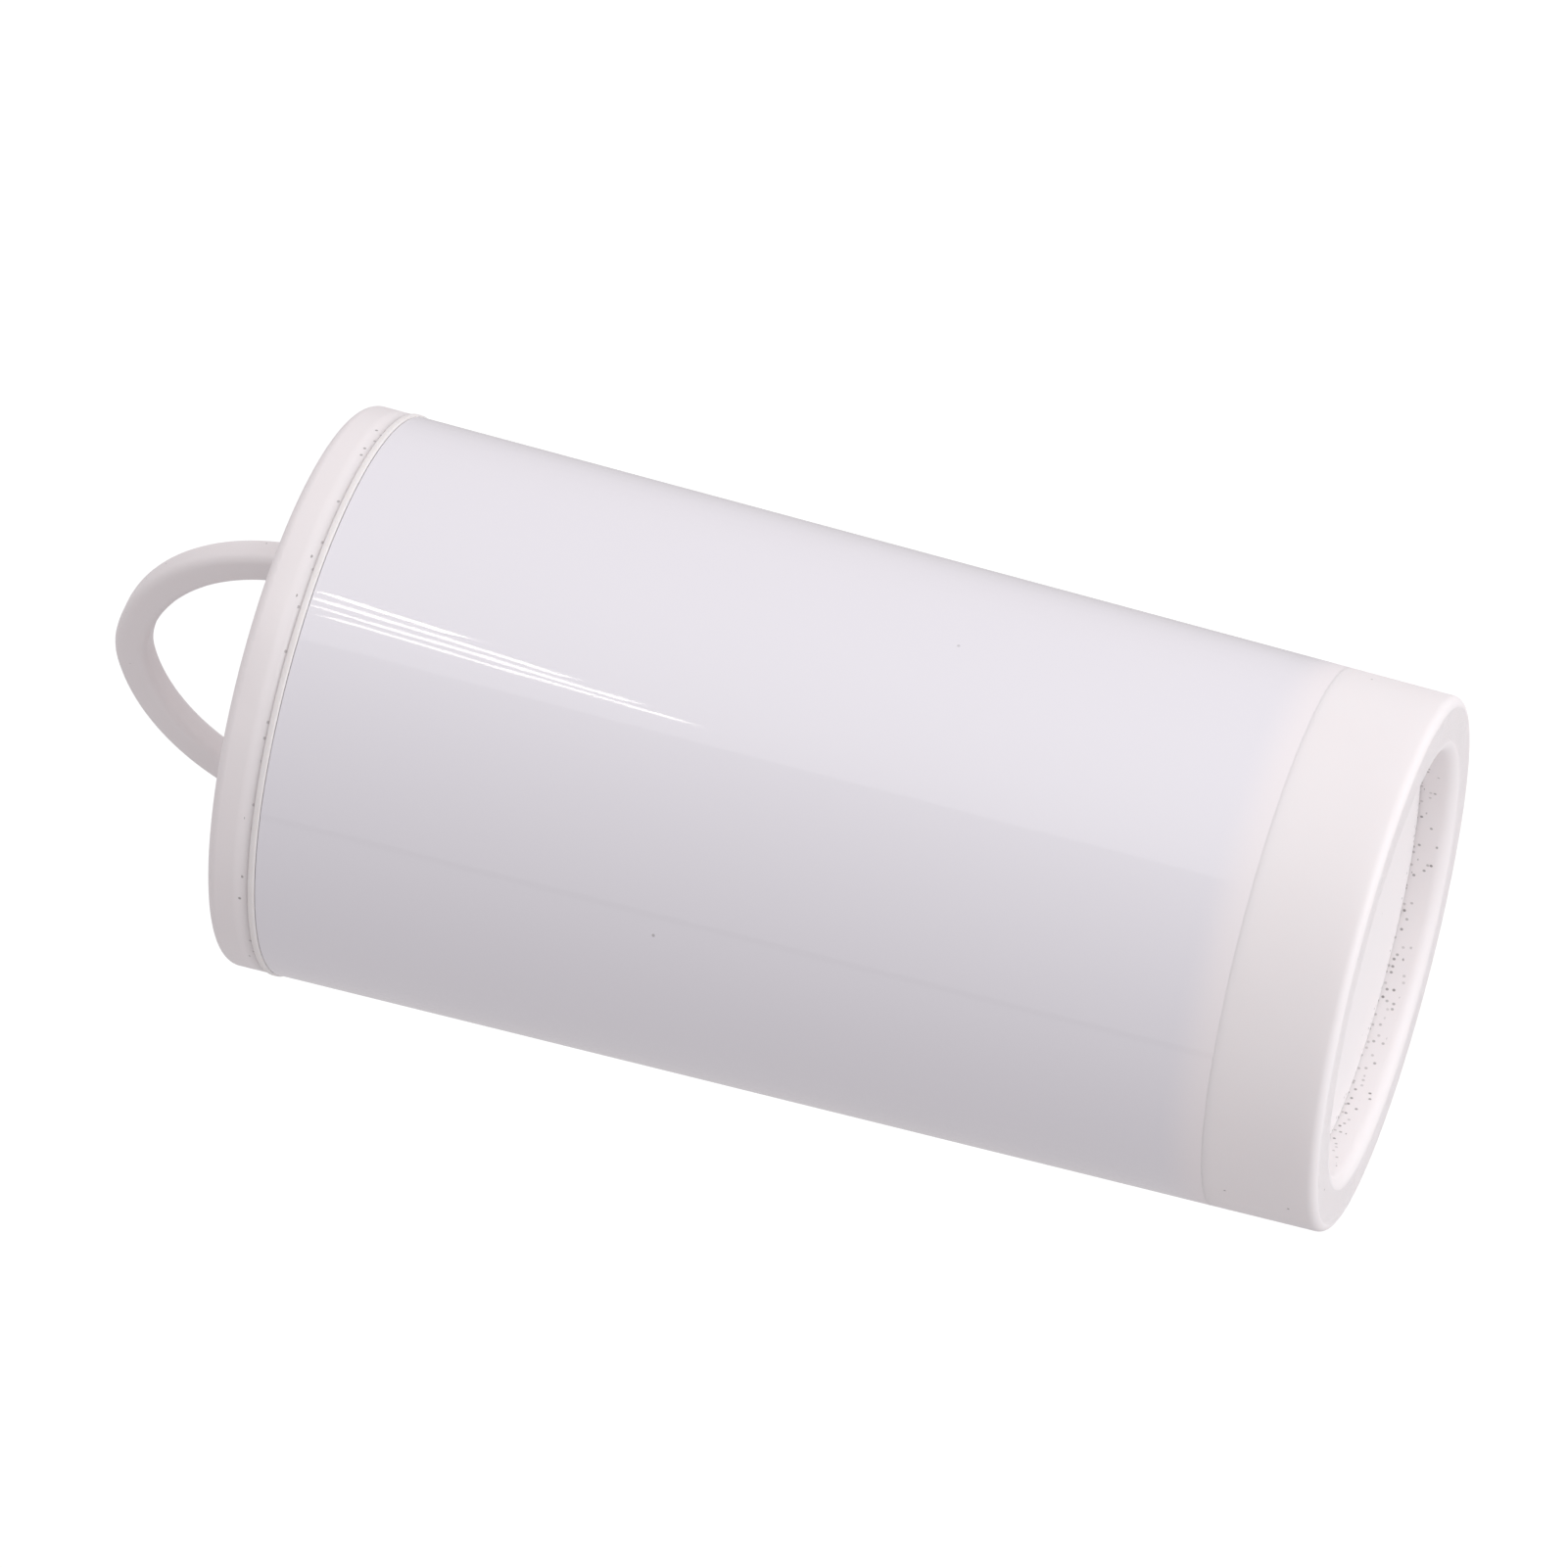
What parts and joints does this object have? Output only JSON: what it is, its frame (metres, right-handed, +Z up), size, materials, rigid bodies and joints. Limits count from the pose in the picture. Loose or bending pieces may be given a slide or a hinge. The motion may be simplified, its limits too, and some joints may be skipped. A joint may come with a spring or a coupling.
{
  "type": "training bumper",
  "caption": "Small round throw-and-float retrieving dummy for dogs: film-wrapped tapered barrel, screw cap with an arched throw loop, and a recessed base.",
  "frame": {"origin": "centre of the base rim's face, at the bottom centre of the bounding box", "axes": "+Z up the body's axis to the cap and loop; the loop's arch lies in the XZ plane; the part stands on its base rim"},
  "size_m": [0.0502, 0.0502, 0.1154],
  "materials": {
    "shell_plastic": "warm white moulded polyethylene, satin",
    "sleeve_film": "cool white shrunk film, glossy",
    "plug_plastic": "warm white moulded plastic, satin",
    "seal_rubber": "black rubber",
    "core_foam": "white closed-cell foam",
    "slug_steel": "bright turned steel",
    "pad_foam": "grey soft foam",
    "gasket_rubber": "white soft rubber",
    "cap_plastic": "warm white moulded plastic, gloss",
    "loop_plastic": "warm white moulded plastic, gloss",
    "pin_steel": "ground stainless steel",
    "plate_plastic": "grey glass-filled plastic",
    "screw_steel": "zinc-plated steel"
  },
  "bodies": {
    "barrel": {"barrel": "shell_plastic", "film_sleeve": "sleeve_film", "base_plug": "plug_plastic", "base_seal": "seal_rubber", "float_core": "core_foam", "ballast_slug": "slug_steel", "core_pad": "pad_foam"},
    "gasket": {"cap_gasket": "gasket_rubber"},
    "cap": {"screw_cap": "cap_plastic", "throw_loop": "loop_plastic", "loop_pins": "pin_steel", "loop_anchor_plate": "plate_plastic", "plate_screws": "screw_steel"}
  },
  "joints": [
    {"name": "cap_lift", "type": "slide", "parent": "barrel", "child": "gasket", "axis": [0, 0, 1], "range_m": [0, 0.006]},
    {"name": "cap_turn", "type": "hinge", "parent": "gasket", "child": "cap", "pos_m": [0, 0, 0.0945], "axis": [0, 0, 1], "range_deg": [0, 540]}
  ],
  "couplings": [
    {"joint": "cap_lift", "follows": "cap_turn", "m_per_rad": 0.00063662}
  ]
}
